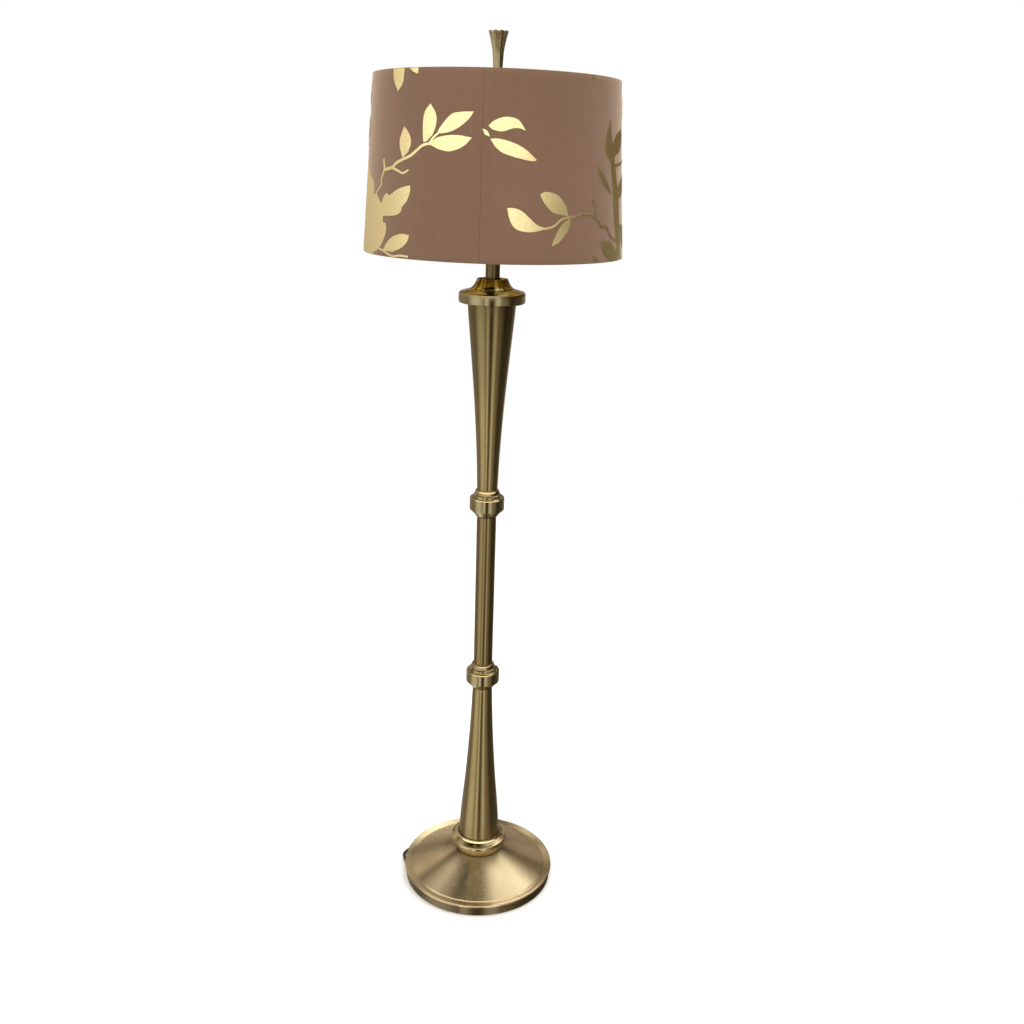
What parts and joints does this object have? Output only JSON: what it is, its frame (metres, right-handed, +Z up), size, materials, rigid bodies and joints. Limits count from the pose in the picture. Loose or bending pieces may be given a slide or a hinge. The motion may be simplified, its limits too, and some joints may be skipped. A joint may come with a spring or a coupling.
{
  "type": "floor lamp",
  "caption": "Column floor lamp: weighted round base, tapered brass column with ring couplings, harp and bulb holder, tapered drum shade held by a screw finial.",
  "frame": {"origin": "centre of the base on the floor", "axes": "+Z up along the column, -Y towards the front, +X to the right as seen from the front"},
  "size_m": [0.435, 0.5227, 1.575],
  "materials": {
    "antique_brass": "brushed antique brass",
    "base_brass": "brushed champagne brass, spun radially",
    "polished_brass": "polished lacquered brass",
    "plain_brass": "satin brass",
    "steel": "zinc plated",
    "cast_iron": "painted black, rough",
    "felt": "pressed felt",
    "black_rubber": "satin flexible vinyl",
    "phenolic": "moulded, semi-gloss",
    "paperboard": "vulcanised fibre",
    "shade_velvet": "short-pile velvet with gold foil leaf print",
    "shade_liner": "gold metallised styrene",
    "white_wire": "white powder coat",
    "frosted_glass": "frosted"
  },
  "bodies": {
    "stand": {"base_felt": "felt", "base_weight": "cast_iron", "base_shell": "base_brass", "base_collar": "antique_brass", "base_washer": "steel", "base_locknut": "steel", "strain_relief": "black_rubber", "lower_column": "antique_brass", "lower_coupling": "antique_brass", "middle_column": "antique_brass", "upper_coupling": "antique_brass", "upper_column": "antique_brass", "cap_flange": "antique_brass", "cap_cone": "polished_brass", "neck_tube": "antique_brass", "neck_plate": "plain_brass", "lower_rod": "steel", "middle_rod": "steel", "upper_rod": "steel", "lower_rod_coupler": "steel", "upper_rod_coupler": "steel", "inner_cord": "black_rubber", "harp_saddle": "plain_brass", "saddle_nut": "plain_brass", "harp": "plain_brass", "harp_stud": "plain_brass", "socket_cap": "plain_brass", "socket_shell": "plain_brass", "socket_insulator": "paperboard", "socket_body": "phenolic", "socket_screw_shell": "plain_brass", "centre_contact": "plain_brass", "cord_lead": "black_rubber", "cord_hank": "black_rubber", "hank_tie": "black_rubber", "cord_tail": "black_rubber", "plug_body": "black_rubber", "plug_blade_left": "plain_brass", "plug_blade_right": "plain_brass"},
    "shade": {"shade_fabric": "shade_velvet", "shade_liner": "shade_liner", "shade_top_ring": "white_wire", "shade_bottom_ring": "white_wire", "spider_hub": "plain_brass", "spider_arm_1": "white_wire", "spider_arm_2": "white_wire", "spider_arm_3": "white_wire"},
    "finial_carrier": {"finial_insert": "plain_brass"},
    "finial": {"finial": "antique_brass"},
    "switch_key": {"switch_spindle": "plain_brass", "switch_knob": "phenolic"},
    "left_sleeve": {"harp_sleeve_left": "plain_brass"},
    "right_sleeve": {"harp_sleeve_right": "plain_brass"},
    "bulb_carrier": {"bulb_contact": "steel"},
    "bulb": {"bulb_base": "steel", "bulb_glass": "frosted_glass"}
  },
  "joints": [
    {"name": "shade_turn", "type": "hinge", "parent": "stand", "child": "shade", "pos_m": [0, 0, 1.4856], "axis": [0, 0, 1], "continuous": true},
    {"name": "finial_rise", "type": "slide", "parent": "stand", "child": "finial_carrier", "axis": [0, 0, 1], "range_m": [0, 0.00659]},
    {"name": "finial_turn", "type": "hinge", "parent": "finial_carrier", "child": "finial", "pos_m": [0, 0, 1.487], "axis": [0, 0, 1], "range_deg": [0, 2520]},
    {"name": "switch_key_turn", "type": "hinge", "parent": "stand", "child": "switch_key", "pos_m": [0, -0.036, 1.277], "axis": [0, -1, 0], "continuous": true},
    {"name": "left_sleeve_lift", "type": "slide", "parent": "stand", "child": "left_sleeve", "axis": [0, 0, 1], "range_m": [0, 0.012]},
    {"name": "right_sleeve_lift", "type": "slide", "parent": "stand", "child": "right_sleeve", "axis": [0, 0, 1], "range_m": [0, 0.012]},
    {"name": "bulb_rise", "type": "slide", "parent": "stand", "child": "bulb_carrier", "axis": [0, 0, 1], "range_m": [0, 0.01814]},
    {"name": "bulb_turn", "type": "hinge", "parent": "bulb_carrier", "child": "bulb", "pos_m": [0, 0, 1.2919], "axis": [0, 0, 1], "range_deg": [0, 1800]}
  ],
  "couplings": [
    {"joint": "finial_rise", "follows": "finial_turn", "m_per_rad": 0.00014972},
    {"joint": "bulb_rise", "follows": "bulb_turn", "m_per_rad": 0.00057751}
  ]
}
